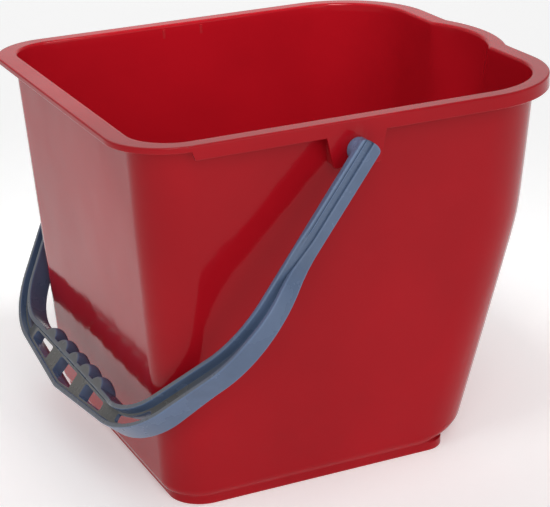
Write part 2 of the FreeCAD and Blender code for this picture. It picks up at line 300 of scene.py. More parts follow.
def box_mesh(low, high):
    """A box with slightly rounded edges between two corners in millimetres."""
    work = bmesh.new()
    bmesh.ops.create_cube(work, size=1.0)
    middle = (Vector(low) + Vector(high)) / 2.0
    size = Vector(high) - Vector(low)
    for vert in work.verts:
        vert.co = Vector([(vert.co[k] * size[k] + middle[k]) * MM for k in range(3)])
    edges = work.edges[:]
    bmesh.ops.bevel(work, geom=edges, offset=RIB_EDGE * MM, segments=2, affect="EDGES", profile=0.6)
    for face in work.faces:
        face.smooth = True
    mesh = bpy.data.meshes.new("box")
    work.to_mesh(mesh)
    work.free()
    return mesh


def turning(profile, centre, axis):
    """A closed turned shape; profile lists (distance along axis, radius) from end to end."""
    axis = Vector(axis).normalized()
    across = axis.orthogonal().normalized()
    other = axis.cross(across)
    rings = []
    for along, radius in profile:
        ring = []
        for k in range(TURNED_SIDES):
            angle = 2.0 * math.pi * k / TURNED_SIDES
            outward = across * math.cos(angle) + other * math.sin(angle)
            ring.append(centre + axis * along + outward * radius)
        rings.append(ring)
    return skin("turning", rings)


def paint(obj, material):
    """Give every face of the object this one material."""
    obj.data.materials.clear()
    obj.data.materials.append(material)
    for face in obj.data.polygons:
        face.material_index = 0


# ---------------------------------------------------------------------------
# Materials
# ---------------------------------------------------------------------------

TUB_IOR = 1.24
HANDLE_IOR = 1.46
WORN_RED = (0.55, 0.12, 0.12)
# grey of the painted sheen, a painted reflection on the handle's upward faces near the grip
SHEEN_GREY = (0.128, 0.124, 0.114)
# how much lighter the handle's painted edge highlights are than its own colour
EDGE_HIGHLIGHT_LIFT = 2.3
# where along X the handle's painted grey sheen (a painted reflection on its upward faces) begins and is
# full, as shares of the grip's own X
SHEEN_FROM = 0.62
SHEEN_FULL = 0.88
PAPER_TONES = ((0.925, 0.925, 0.925), (0.955, 0.955, 0.955))
PAPER_GLOW = 0.30


class Shader:
    """A short way to write a node tree."""

    def __init__(self, name):
        self.material = bpy.data.materials.new(name)
        self.material.use_nodes = True
        self.tree = self.material.node_tree
        self.surface = self.tree.nodes["Principled BSDF"]

    def add(self, kind, links=None, **values):
        node = self.tree.nodes.new(kind)
        for key, value in values.items():
            setattr(node, key, value)
        for socket, source in (links or {}).items():
            self.tree.links.new(source, node.inputs[socket])
        return node

    def noise(self, place, scale, detail=3.0, roughness=0.5):
        node = self.add("ShaderNodeTexNoise", {"Vector": place})
        node.inputs["Scale"].default_value = scale
        node.inputs["Detail"].default_value = detail
        node.inputs["Roughness"].default_value = roughness
        return node.outputs["Fac"]

    def ranged(self, value, low, high, to_low, to_high):
        node = self.add("ShaderNodeMapRange", {"Value": value})
        node.inputs["From Min"].default_value = low
        node.inputs["From Max"].default_value = high
        node.inputs["To Min"].default_value = to_low
        node.inputs["To Max"].default_value = to_high
        return node.outputs["Result"]

    def calc(self, operation, first, second):
        node = self.add("ShaderNodeMath", operation=operation)
        for index, value in enumerate((first, second)):
            if isinstance(value, (int, float)):
                node.inputs[index].default_value = value
            else:
                self.tree.links.new(value, node.inputs[index])
        return node.outputs[0]

    def blend(self, amount, first, second):
        # a Mix node set to colour takes them at sockets 6 and 7 and gives the result at 2
        node = self.add("ShaderNodeMix", data_type="RGBA")
        self.tree.links.new(amount, node.inputs[0])
        for index, value in ((6, first), (7, second)):
            if isinstance(value, tuple):
                node.inputs[index].default_value = value + (1.0,)
            else:
                self.tree.links.new(value, node.inputs[index])
        return node.outputs[2]

    def stretched(self, place, scale):
        node = self.add("ShaderNodeMapping", {"Vector": place})
        node.inputs["Scale"].default_value = scale
        return node.outputs["Vector"]

    def bump(self, height, strength, distance, under=None):
        node = self.add("ShaderNodeBump", {"Height": height})
        node.inputs["Strength"].default_value = strength
        node.inputs["Distance"].default_value = distance
        if under is not None:
            self.tree.links.new(under, node.inputs["Normal"])
        return node.outputs["Normal"]

    def finish(self, colour, roughness, normal):
        self.tree.links.new(colour, self.surface.inputs["Base Color"])
        self.tree.links.new(roughness, self.surface.inputs["Roughness"])
        self.tree.links.new(normal, self.surface.inputs["Normal"])


def scaled(colour, by):
    """A colour made lighter or darker."""
    return tuple(min(channel * by, 1.0) for channel in colour)


def red_plastic(look):
    """Glossy moulded polypropylene: slightly wavy walls, faint haze and hairline scratches."""
    shader = Shader("red_plastic")
    place = shader.add("ShaderNodeTexCoord").outputs["Object"]
    colour = tuple(look.tub_colour)
    cloud = shader.noise(place, 7.0, 4.0, 0.55)
    speck = shader.noise(place, 420.0, 2.0)
    scratch = shader.noise(shader.stretched(place, (260.0, 260.0, 9.0)), 1.0, 3.0)
    swirl = shader.noise(shader.stretched(place, (22.0, 22.0, 900.0)), 1.0, 3.0)
    patches = shader.ranged(cloud, 0.32, 0.68, 0.0, 1.0)
    tone = shader.blend(patches, scaled(colour, 0.90), scaled(colour, 1.10))
    edge = shader.add("ShaderNodeNewGeometry").outputs["Pointiness"]
    edge_wear = shader.ranged(edge, 0.52, 0.60, 0.0, 0.22)
    edge_wear_and_highlight = shader.calc("MULTIPLY", edge_wear, shader.ranged(cloud, 0.3, 0.6, 0.3, 1.0))
    tone = shader.blend(edge_wear_and_highlight, tone, WORN_RED)
    dust = shader.calc("ADD", cloud, shader.calc("MULTIPLY", speck, 0.25))
    haze = shader.ranged(dust, 0.45, 0.80, 0.0, 0.05)
    hair = shader.ranged(scratch, 0.60, 0.74, 0.0, 0.05)
    roughness = shader.calc("ADD", shader.calc("ADD", haze, hair), look.tub_roughness)
    wave = shader.bump(shader.noise(place, 14.0, 1.0), 0.35, 0.0026)
    ripple = shader.bump(shader.noise(place, 60.0, 1.0), 0.35, 0.00040, wave)
    flow = shader.bump(swirl, 0.10, 0.00003, ripple)
    grain = shader.bump(speck, 0.10, 0.00003, flow)
    shader.finish(tone, roughness, grain)
    shader.surface.inputs["IOR"].default_value = TUB_IOR
    return shader.material


def blue_grey_plastic(look, grip_x, face):
    """Satin moulded polypropylene, with a painted grey sheen (a painted reflection) on the faces towards
    face near the grip at grip_x, and painted highlights along its edges.
    """
    shader = Shader("blue_grey_plastic")
    place = shader.add("ShaderNodeTexCoord").outputs["Object"]
    colour = tuple(look.handle_colour)
    cloud = shader.noise(place, 30.0, 4.0, 0.6)
    grain = shader.noise(place, 1500.0, 2.0)
    patches = shader.ranged(cloud, 0.3, 0.7, 0.0, 1.0)
    tone = shader.blend(patches, scaled(colour, 0.86), scaled(colour, 1.14))
    split = shader.add("ShaderNodeSeparateXYZ", {"Vector": place})
    # painted grey sheen: faces that look towards face, near the grip, are painted lighter grey to stand in
    # for a reflection
    near = shader.ranged(split.outputs["X"], grip_x * SHEEN_FROM, grip_x * SHEEN_FULL, 0.0, 1.0)
    edge = shader.add("ShaderNodeNewGeometry").outputs["Pointiness"]
    facing = shader.add("ShaderNodeVectorMath", operation="DOT_PRODUCT")
    shader.tree.links.new(shader.add("ShaderNodeTexCoord").outputs["Normal"], facing.inputs[0])
    facing.inputs[1].default_value = face
    upward = shader.ranged(facing.outputs["Value"], 0.70, 0.90, 0.0, 1.0)
    sheen_mask = shader.calc("MULTIPLY", near, upward)
    painted_sheen = shader.calc("MULTIPLY", sheen_mask, shader.ranged(cloud, 0.3, 0.6, 0.85, 1.0))
    tone = shader.blend(painted_sheen, tone, SHEEN_GREY)
    # painted highlights: the handle's sharp edges are made lighter to stand in for thin glints of light
    # along them
    edge_wear_and_highlight = shader.ranged(edge, 0.51, 0.57, 0.0, 0.35)
    tone = shader.blend(edge_wear_and_highlight, tone, scaled(colour, EDGE_HIGHLIGHT_LIFT))
    uneven = shader.ranged(cloud, 0.3, 0.7, -0.04, 0.07)
    roughness = shader.calc("ADD", uneven, look.handle_roughness)
    shader.finish(tone, roughness, shader.bump(grain, 0.10, 0.00004))
    shader.surface.inputs["IOR"].default_value = HANDLE_IOR
    return shader.material


def floor_paper():
    """Plain pale studio paper with a faint even glow."""
    shader = Shader("floor_paper")
    place = shader.add("ShaderNodeTexCoord").outputs["Object"]
    fibre = shader.noise(place, 260.0, 4.0, 0.6)
    tone = shader.blend(shader.ranged(fibre, 0.3, 0.7, 0.0, 1.0), *PAPER_TONES)
    shader.finish(tone, shader.ranged(fibre, 0.0, 1.0, 0.75, 0.9), shader.bump(fibre, 0.05, 0.0001))
    shader.surface.inputs["Specular IOR Level"].default_value = 0.15
    shader.surface.inputs["Emission Color"].default_value = (1.0, 1.0, 1.0, 1.0)
    shader.surface.inputs["Emission Strength"].default_value = PAPER_GLOW
    return shader.material


# ---------------------------------------------------------------------------
# Tub
# ---------------------------------------------------------------------------

CORNER_STEPS = 32
FRONT_STEPS = 72
BACK_STEPS = 24
# An ear narrows downward, and its two lower corners are round.
EAR_MIDDLE = PIVOT.x
EAR_TOP_HALF = 19.5
EAR_LOW_HALF = 15.6
EAR_CORNER = 1.6
EAR_STEP = 4.0
EAR_HOLE_RADIUS = 4.60
SIDE_STEPS = 12
# the share of the front end over which the bottom changes from its side shape to its front shape
FRONT_SHARE = (0.05, 0.80)


def side_places(tub):
    """x positions along a long side of the rim, from the front corner to the back corner."""
    front = tub.rim_half_length - tub.rim_front_radius
    back = tub.rim_back_radius - tub.rim_half_length
    ear = []
    for half in (EAR_TOP_HALF, EAR_LOW_HALF, EAR_LOW_HALF - 0.35 * EAR_CORNER, EAR_LOW_HALF - EAR_CORNER):
        ear += [EAR_MIDDLE + half, EAR_MIDDLE - half]
    inner = [EAR_MIDDLE + EAR_STEP * k for k in range(-3, 4)]
    ahead = [front + (EAR_MIDDLE + EAR_TOP_HALF - front) * k / SIDE_STEPS for k in range(SIDE_STEPS)]
    behind = [back + (EAR_MIDDLE - EAR_TOP_HALF - back) * k / SIDE_STEPS for k in range(SIDE_STEPS)]
    return sorted(ear + inner + ahead + behind, reverse=True)


def skirt_edge(tub, x):
    """Height of the lower edge of the skirt and ears at x on a long side of the rim."""
    away = abs(x - EAR_MIDDLE)
    corner = tub.ear_bottom + EAR_CORNER
    if away >= EAR_TOP_HALF:
        return tub.skirt_bottom
    if away >= EAR_LOW_HALF:
        part = (EAR_TOP_HALF - away) / (EAR_TOP_HALF - EAR_LOW_HALF)
        return tub.skirt_bottom + (corner - tub.skirt_bottom) * part
    if away >= EAR_LOW_HALF - EAR_CORNER:
        inward = (EAR_LOW_HALF - away) / EAR_CORNER
        return corner - EAR_CORNER * math.sqrt(max(1.0 - (1.0 - inward) ** 2, 0.0))
    return tub.ear_bottom


def plan_ring(tub, back, front, side, r_back, r_front):
    """Points around a rounded rectangle: position, outward normal, and how much each belongs to the
    front end, with the x it stands for on the rim's long sides (or None at the ends)."""
    places = side_places(tub)
    rim_front, rim_back = places[0], places[-1]
    x_front, x_back = front - r_front, r_back - back
    ring = []
    for k in range(FRONT_STEPS + 1):
        y = (side - r_front) * (2.0 * k / FRONT_STEPS - 1.0)
        ring.append((Vector((front, y, 0.0)), Vector((1.0, 0.0, 0.0)), 1.0, None))
    for angle in turned(CORNER_STEPS, 0.0):
        normal = Vector((math.cos(angle), math.sin(angle), 0.0))
        ring.append((Vector((x_front, side - r_front, 0.0)) + normal * r_front, normal, normal.x, None))
    for x in places:
        part = (x - rim_back) / (rim_front - rim_back)
        point = Vector((x_back + (x_front - x_back) * part, side, 0.0))
        ring.append((point, Vector((0.0, 1.0, 0.0)), 0.0, x))
    for angle in turned(CORNER_STEPS, 90.0):
        normal = Vector((math.cos(angle), math.sin(angle), 0.0))
        ring.append((Vector((x_back, side - r_back, 0.0)) + normal * r_back, normal, 0.0, None))
    for k in range(BACK_STEPS + 1):
        y = (side - r_back) * (1.0 - 2.0 * k / BACK_STEPS)
        ring.append((Vector((-back, y, 0.0)), Vector((-1.0, 0.0, 0.0)), 0.0, None))
    for angle in turned(CORNER_STEPS, 180.0):
        normal = Vector((math.cos(angle), math.sin(angle), 0.0))
        ring.append((Vector((x_back, r_back - side, 0.0)) + normal * r_back, normal, 0.0, None))
    for x in reversed(places):
        part = (x - rim_back) / (rim_front - rim_back)
        point = Vector((x_back + (x_front - x_back) * part, -side, 0.0))
        ring.append((point, Vector((0.0, -1.0, 0.0)), 0.0, x))
    for angle in turned(CORNER_STEPS, 270.0):
        normal = Vector((math.cos(angle), math.sin(angle), 0.0))
        ring.append((Vector((x_front, r_front - side, 0.0)) + normal * r_front, normal, normal.x, None))
    return ring


def wall_plan(z):
    """The outer wall's plan at height z, eased over the knee."""
    low, knee, high = WALL_LEVELS
    below = mixed(low, knee, (z - low[0]) / (knee[0] - low[0]))
    above = mixed(knee, high, (z - knee[0]) / (high[0] - knee[0]))
    step = z - knee[0]
    ease = (step + math.sqrt(step * step + KNEE_SOFTNESS ** 2)) / 2.0
    slope_low = [(b - a) / (knee[0] - low[0]) for a, b in zip(low, knee)]
    slope_high = [(b - a) / (high[0] - knee[0]) for a, b in zip(knee, high)]
    if abs(step) > 4.0 * KNEE_SOFTNESS:
        return (below if step < 0 else above)[1:]
    return [value + (up - down) * ease for value, up, down in zip(below, slope_high, slope_low)][1:]


# The crease beside the lip: its rounding at the rim, how much softer it grows down to where the lip
# ends, and how far behind the wall the lip starts there.
LIP_CORNER = 0.7
LIP_SOFTER = 5.0
LIP_START = 1.5


def bulge(radius, reach, straight, y, corner):
    """How far a round lip of this radius and reach stands out of a straight edge at y, with the
    crease beside it rounded off by corner."""
    if abs(y) >= radius:
        return 0.0
    out = math.sqrt(radius * radius - y * y) - radius + reach - straight
    return (out + math.sqrt(out * out + corner * corner)) / 2.0 - 0.02


def lip_out(radius, x_straight, reach, point, share, corner=LIP_CORNER):
    """Move a point of the front end out over the pouring lip."""
    if share < 0.999:
        return point
    out = bulge(radius, reach, x_straight, point.y, corner)
    return Vector((point.x + max(out, 0.0), point.y, point.z))


def rim_ring(tub, inset, height, from_skirt=False):
    """A ring of the rim; with from_skirt, height is measured up from the skirt's lower edge."""
    length, width = tub.rim_half_length - inset, tub.rim_half_width - inset
    ring = []
    plain_edge = tub.rim_height - tub.rim_thickness - 0.4
    base = plan_ring(tub, length, length, width, tub.rim_back_radius - inset, tub.rim_front_radius - inset)
    for point, normal, share, x in base:
        z = height
        if from_skirt:
            if x is not None:
                edge = skirt_edge(tub, x)
            elif normal.x >= 0.0:
                edge = tub.skirt_bottom
            else:
                edge = plain_edge
            z = edge + height
        moved = lip_out(tub.lip_radius - inset, length, tub.lip_outer - inset, point, share)
        ring.append(Vector((moved.x, moved.y, z)))
    return ring


def wall_ring(tub, z, inset, plan_z=None):
    """A ring of the wall at height z, inset millimetres inside the outer face. With plan_z, its
    plan is the one at that height."""
    back, front, side, r_back, r_front = wall_plan(z if plan_z is None else plan_z)
    base = plan_ring(tub, back - inset, front - inset, side - inset, r_back - inset, r_front - inset)
    top = tub.rim_height
    sunk = (top - min(z, top)) / tub.lip_depth
    cup = max(1.0 - sunk, 0.0)
    reach = front - inset - LIP_START + (tub.lip_inner + tub.wall - front + LIP_START) * cup
    radius = tub.scoop_radius + tub.wall - inset
    ring = []
    for point, _normal, share, _x in base:
        moved = point
        if sunk < 1.0:
            moved = lip_out(radius, front - inset, reach, point, share, LIP_CORNER + LIP_SOFTER * sunk)
        ring.append(Vector((moved.x, moved.y, z)))
    return ring


FLOOR_Z = WALL_LEVELS[0][0]
# The round between wall and floor, and the foot: how far its back and front ends are from the
# middle, half width, back corner radius, front corner radius.
BOTTOM_STEPS = 9
BOTTOM_FRONT_RADIUS = 9.5
BOTTOM_SIDE_RADIUS = 8.0
BOTTOM_SIDE_TURN = 36.0
FOOT = (121.4, 66.0, 115.2, 22.0, 15.0)
FOOT_WIDTH = 3.0


def bottom_ring(tub, part):
    """One ring of the round between wall and floor: a full quarter at the front end, and only the
    start of one at the sides and the back, where the foot begins."""
    turn_front = math.radians(90.0) * part
    turn_side = math.radians(BOTTOM_SIDE_TURN) * part
    drop_side = BOTTOM_SIDE_RADIUS * math.sin(math.radians(BOTTOM_SIDE_TURN))
    start_front = FLOOR_Z + BOTTOM_FRONT_RADIUS
    start_side = FLOOR_Z + 0.5 + drop_side
    z_front = start_front - BOTTOM_FRONT_RADIUS * math.sin(turn_front)
    z_side = start_side - BOTTOM_SIDE_RADIUS * math.sin(turn_side)
    in_front = BOTTOM_FRONT_RADIUS * (1.0 - math.cos(turn_front))
    in_side = BOTTOM_SIDE_RADIUS * (1.0 - math.cos(turn_side))
    at_front = plan_ring(tub, *wall_plan(max(z_front, FLOOR_Z)))
    at_side = plan_ring(tub, *wall_plan(max(z_side, FLOOR_Z)))
    ring = []
    for (p, n, share, _), (q, _n, _s, _x) in zip(at_front, at_side):
        weight = smooth(*FRONT_SHARE, share)
        point = p.lerp(q, 1.0 - weight) - n * (in_side + (in_front - in_side) * weight)
        ring.append(Vector((point.x, point.y, z_side + (z_front - z_side) * weight)))
    return ring


def foot_ring(tub, inset, z):
    """A ring of the foot at height z, inset millimetres inside its outer face."""
    back, front, side, r_back, r_front = FOOT
    base = plan_ring(tub, back - inset, front - inset, side - inset, r_back - inset, r_front - inset)
    return [Vector((point.x, point.y, z)) for point, _normal, _share, _x in base]


def tub_rings(tub):
    """All rings of the tub, from its underside up round the rim and down to its floor inside."""
    top = tub.rim_height
    under_rim = top - tub.rim_thickness
    skirt = tub.skirt_thickness
    rings = [foot_ring(tub, FOOT_WIDTH, FLOOR_Z - 0.2), foot_ring(tub, FOOT_WIDTH, 0.5)]
    rings += [foot_ring(tub, FOOT_WIDTH - 0.4, 0.0), foot_ring(tub, 0.7, 0.0)]
    rings += [foot_ring(tub, 0.2, 0.2), foot_ring(tub, 0.0, 0.7), foot_ring(tub, 0.0, FLOOR_Z - 0.7)]
    rings += [foot_ring(tub, 0.0, FLOOR_Z - 0.3)]
    rings += [bottom_ring(tub, 1.0 - k / BOTTOM_STEPS) for k in range(BOTTOM_STEPS + 1)]
    heights = [22.0, 30.0, 45.0, 65.0, 85.0, 105.0, 120.0, 128.0]
    heights += [132.0 + 4.0 * k for k in range(9)]
    heights += [172.0, 185.0, 200.0, 212.0, 220.0, 225.0]
    heights += [227.0 + k for k in range(9)]
    rings += [wall_ring(tub, z, 0.0) for z in heights]
    rings += [wall_ring(tub, under_rim - 0.5, -0.25), wall_ring(tub, under_rim, -1.2)]
    rings += [rim_ring(tub, skirt + 0.3, under_rim)]
    rings += [rim_ring(tub, skirt, 0.4, True), rim_ring(tub, skirt - 0.35, 0.0, True)]
    rings += [rim_ring(tub, 0.35, 0.0, True), rim_ring(tub, 0.0, 0.35, True), rim_ring(tub, 0.0, 0.8, True)]
    edge = tub.edge_round
    rings += [rim_ring(tub, 0.0, top - edge - 0.8), rim_ring(tub, 0.0, top - edge)]
    for k in (1, 2, 3):
        angle = math.radians(30.0 * k)
        rings.append(rim_ring(tub, edge * (1.0 - math.cos(angle)), top - edge + edge * math.sin(angle)))
    rings += [rim_ring(tub, edge + 0.8, top)]
    mouth = tub.mouth_round
    rings += [wall_ring(tub, top, tub.wall - mouth - 0.8, top)]
    for k in range(7):
        angle = math.radians(90.0 - 15.0 * k)
        grow = mouth * (1.0 - math.cos(angle))
        z = top - mouth + mouth * math.sin(angle)
        rings.append(wall_ring(tub, z, tub.wall - grow, top))
    rings += [wall_ring(tub, z, tub.wall) for z in reversed([18.0] + heights)]
    bottom_round = 7.0
    for k in range(1, 9):
        angle = math.radians(11.25 * k)
        z = tub.floor_top + bottom_round * (1.0 - math.sin(angle))
        rings.append(wall_ring(tub, z, tub.wall + bottom_round * (1.0 - math.cos(angle))))
    rings += [wall_ring(tub, tub.floor_top, tub.wall + bottom_round + 1.5)]
    return rings


def ear_ribs(tub):
    """The ribs that tie each ear to the wall behind it."""
    ribs = []
    wall_y = wall_plan(tub.ear_bottom)[2] - 1.0
    plate_y = tub.rim_half_width - tub.skirt_thickness + 0.5
    for side in (1.0, -1.0):
        for x in (EAR_MIDDLE - 14.0, EAR_MIDDLE + 14.0):
            y = sorted((side * wall_y, side * plate_y))
            low = (x - 1.0, y[0], tub.ear_bottom + 2.0)
            high = (x + 1.0, y[1], tub.rim_height - tub.rim_thickness + 0.5)
            ribs.append(box_mesh(low, high))
    return ribs


def rib_bars(name, count, first, spacing, low, high):
    """A row of equal bars made by a node group, as one mesh."""
    group = bpy.data.node_groups.new(name, "GeometryNodeTree")
    group.interface.new_socket("Geometry", in_out="OUTPUT", socket_type="NodeSocketGeometry")
    wanted = {"Count": ("NodeSocketInt", count), "First": ("NodeSocketVector", first)}
    wanted["Spacing"] = ("NodeSocketVector", spacing)
    wanted["Size"] = ("NodeSocketVector", tuple(b - a for a, b in zip(low, high)))
    sockets = {}
    for label, (kind, _value) in wanted.items():
        sockets[label] = group.interface.new_socket(label, in_out="INPUT", socket_type=kind)
    nodes, links = group.nodes, group.links
    entry, leave = nodes.new("NodeGroupInput"), nodes.new("NodeGroupOutput")
    line = nodes.new("GeometryNodeMeshLine")
    bar = nodes.new("GeometryNodeMeshCube")
    place = nodes.new("GeometryNodeInstanceOnPoints")
    real = nodes.new("GeometryNodeRealizeInstances")
    paint = nodes.new("GeometryNodeSetMaterial")
    links.new(entry.outputs["Count"], line.inputs["Count"])
    links.new(entry.outputs["First"], line.inputs["Start Location"])
    links.new(entry.outputs["Spacing"], line.inputs["Offset"])
    links.new(entry.outputs["Size"], bar.inputs["Size"])
    links.new(line.outputs["Mesh"], place.inputs["Points"])
    links.new(bar.outputs["Mesh"], place.inputs["Instance"])
    links.new(place.outputs["Instances"], real.inputs["Geometry"])
    links.new(real.outputs["Geometry"], paint.inputs["Geometry"])
    links.new(paint.outputs["Geometry"], leave.inputs["Geometry"])
    paint.inputs["Material"].default_value = bpy.data.materials["red_plastic"]
    holder = new_object(name, bpy.data.meshes.new(name))
    row = holder.modifiers.new("row", "NODES")
    row.node_group = group
    for label, (_kind, value) in wanted.items():
        row[sockets[label].identifier] = value
    settle(holder)
    mesh = holder.data
    bpy.data.objects.remove(holder)
    return mesh


def foot_ribs():
    """Crossing ribs under the floor, flush with the standing plane."""
    back, front, side = FOOT[0] - 1.0, FOOT[1] - 1.0, FOOT[2] - 1.0
    half = 1.5
    tall = FLOOR_Z
    middle = tall / 2.0
    across = [(-half, -side, 0.0), (half, side, tall)]
    along = [(-back, -half, 0.0), (front, half, tall)]
    rows = []
    for name, count, first, spacing, (low, high) in (
        ("ribs_across", 2, (-60.0, 0.0, middle), (60.0, 0.0, 0.0), across),
        ("ribs_along", 3, ((front - back) / 2.0, -40.0, middle), (0.0, 40.0, 0.0), along),
    ):
        scale = [tuple(value * MM for value in numbers) for numbers in (first, spacing, low, high)]
        rows.append(rib_bars(name, count, *scale))
    return rows


def ear_holes(tub):
    """Cutters for the two bearing holes in the ears."""
    reach = 3.0
    cutters = []
    for side in (1.0, -1.0):
        middle = tub.rim_half_width - tub.skirt_thickness / 2.0
        profile = [(-reach, EAR_HOLE_RADIUS), (reach, EAR_HOLE_RADIUS)]
        cutters.append(turning(profile, Vector((PIVOT.x, side * middle, PIVOT.z)), (0.0, 1.0, 0.0)))
    return cutters


class WASHBUCKET_OT_tub(Operator):
    """Build the red tub with its rim, pouring lip, ears and foot"""

    bl_idname = "washbucket.tub"
    bl_label = "Tub"

    def execute(self, context):
        tub = context.scene.washbucket_tub
        material = red_plastic(context.scene.washbucket_look)
        obj = new_object("tub_moulding", skin("tub_moulding", tub_rings(tub)))
        carve(obj, ear_holes(tub))
        even_normals(obj, 50.0)
        whole = joined("tub_moulding", [obj.data] + ear_ribs(tub) + foot_ribs())
        without_ribs = obj.data
        obj.data = whole
        bpy.data.meshes.remove(without_ribs)
        even_normals(obj, 50.0)
        paint(obj, material)
        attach(obj, "root")
        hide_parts("tub")
        return {"FINISHED"}


# ---------------------------------------------------------------------------
# Carry handle
# ---------------------------------------------------------------------------

# Half outlines of the flat handle from a pivot to the middle of the grip, as (u, v, bend radius):
# u runs from the pivots to the grip, v across the bucket.
OUTER_BENDS = [(75.4, 157.0, 70.0), (125.9, 178.5, 77.0), (221.8, 110.0, 78.0), (232.6, 0.0, 16.0)]
INNER_BENDS = [(130.1, 157.4, 70.0), (210.5, 97.2, 55.0), (210.5, 0.0, 0.0)]
CENTRE_BENDS = [(75.0, 155.0, 90.0), (128.0, 167.0, 80.0), (216.0, 103.5, 62.0), (221.5, 0.0, 0.0)]
OUTER_START = (-40.0, 149.9, 0.0)
INNER_START = (-40.0, 144.6, 0.0)
CENTRE_START = (-2.6, 149.96, 0.0)
ARM_END = -2.6
ARM_CAP = 4.8
ARM_LEAN = 0.068
CAP_STEPS = 12
CAP_TURN = 88.0
CAP_POWER = 2.6
CENTRE_STEP = 0.8
OUTLINE_STEP = 0.5
CARRIED_POINTS = 60

# The grip begins at this u, and fades out between these v. The openings start a little further on.
GRIP_FROM = 150.0
GRIP_FADE = (64.0, 84.0)
RIDGES_WITHIN = 75.0
OPENINGS_FROM = 185.0
OPENING_FROM_INNER = 4.9
OPENING_FROM_OUTER = 4.5
OPENING_CORNER = 2.2
OPENINGS_EACH_SIDE = 2
CUT_REACH = 20.0

# Finger ridges: radius of a ridge, level of the hollows beyond it, softness of the crease between
# them, and how much a ridge sinks towards its two ends.
RIDGE_RADIUS = 7.8
RIDGE_HOLLOW = -2.6
RIDGE_CREASE = 1.1
RIDGE_SINK = 0.62
RIDGE_HALF = 7.5

# Cross-section of the handle. A level that changes along u has the range of u where it does.
INNER_SINK = 2.2
OUTER_RISE = 4.4
OUTER_RISE_ALONG = (56.0, 98.0)
OUTER_CREST = 1.6
OUTER_CREST_ALONG = (98.0, 135.0)
OUTER_DROP = 2.5
OUTER_DROP_ALONG = (155.0, 200.0)
WEB_HALF = 1.2
WEB_RAISED = 3.3
WEB_LOWERED = 2.0
SOLID_WIDTHS = (6.8, 10.0)
INNER_SHARE = 0.62
LEAST_WEB = 0.25
EDGE = 0.8
WEB_EDGE = 0.9
EDGE_SHARE = 0.45
EDGE_MIDDLE = 0.3
FLAT_ARM_ALONG = (48.0, 76.0)
ARM_LIP_SHARE = 0.85
BEAD = 0.45
BEAD_LEVELS = (4.5, 4.2, 3.7, 3.4)
INNER_FACE_STEPS = 9

# Pivots: clearance beside an ear, thickness of an ear, and length of a hub
PIVOT_GAP = 0.35
EAR_THICKNESS = 2.4
HUB_LENGTH = 7.9


def bent_line(points, step):
    """An open line through the points with round bends, sampled every step millimetres."""
    line = [Vector(points[0][:2])]
    for index in range(1, len(points)):
        here = Vector(points[index][:2])
        radius = points[index][2]
        last = index == len(points) - 1
        if last and not radius:
            line += walk(line[-1], here, step)
            break
        if last:
            following = Vector((points[index - 1][0], -points[index - 1][1]))
        else:
            following = Vector(points[index + 1][:2])
        before = (Vector(points[index - 1][:2]) - here).normalized()
        after = (following - here).normalized()
        half = before.angle(after) / 2.0
        reach = radius / math.tan(half)
        centre = here + (before + after).normalized() * (radius / math.sin(half))
        start, end = here + before * reach, here + after * reach
        line += walk(line[-1], start, step)
        first, second = start - centre, end - centre
        turn = math.atan2(first.x * second.y - first.y * second.x, first.dot(second))
        pieces = max(2, int(abs(turn) * radius / step))
        for k in range(1, pieces + 1):
            angle = turn * k / pieces
            spin = Matrix.Rotation(angle, 2)
            point = centre + spin @ first
            if last and point.y < 0.0:
                line.append(Vector((point.x, 0.0)))
                break
            line.append(point)
    return line


def across(line):
    """The sampled line, carried on past the middle of the grip by its own mirror image."""
    return line + [Vector((point.x, -point.y)) for point in reversed(line[-CARRIED_POINTS:-1])]


def outlines():
    """The sampled outer and inner outlines of half the handle, carried on past the middle."""
    outer = across(bent_line([OUTER_START] + OUTER_BENDS, OUTLINE_STEP))
    inner = across(bent_line([INNER_START] + INNER_BENDS, OUTLINE_STEP))
    return outer, inner


def walk(start, end, step):
    """Points along a straight stretch, its end included."""
    count = max(1, int((end - start).length / step))
    return [start.lerp(end, k / count) for k in range(1, count + 1)]


def crossing(line, start, direction):
    """Where a ray from start along direction first meets a sampled line."""
    best = None
    side = Vector((-direction.y, direction.x))
    for a, b in zip(line, line[1:]):
        da, db = (a - start).dot(side), (b - start).dot(side)
        if da * db > 0.0 or da == db:
            continue
        point = a.lerp(b, da / (da - db))
        far = (point - start).dot(direction)
        if far > 0.0 and (best is None or far < best):
            best = far
    return best


def ridge(handle, v, t):
    """Height of the finger ridges at v across the grip and t through its thickness."""
    last = (handle.ridge_count - 1) / 2.0 * handle.ridge_pitch
    if abs(v) > last + handle.ridge_pitch:
        return 0.0
    nearest = round(v / handle.ridge_pitch) * handle.ridge_pitch
    nearest = min(max(nearest, -last), last)
    away = abs(v - nearest)
    height = RIDGE_HOLLOW
    if away < RIDGE_RADIUS:
        round_top = math.sqrt(RIDGE_RADIUS * RIDGE_RADIUS - away * away)
        height = round_top - (RIDGE_RADIUS - handle.ridge_height)
    height *= 1.0 - RIDGE_SINK * min(abs(t) / RIDGE_HALF, 1.0) ** 2
    return (height + math.sqrt(height * height + RIDGE_CREASE * RIDGE_CREASE)) / 2.0


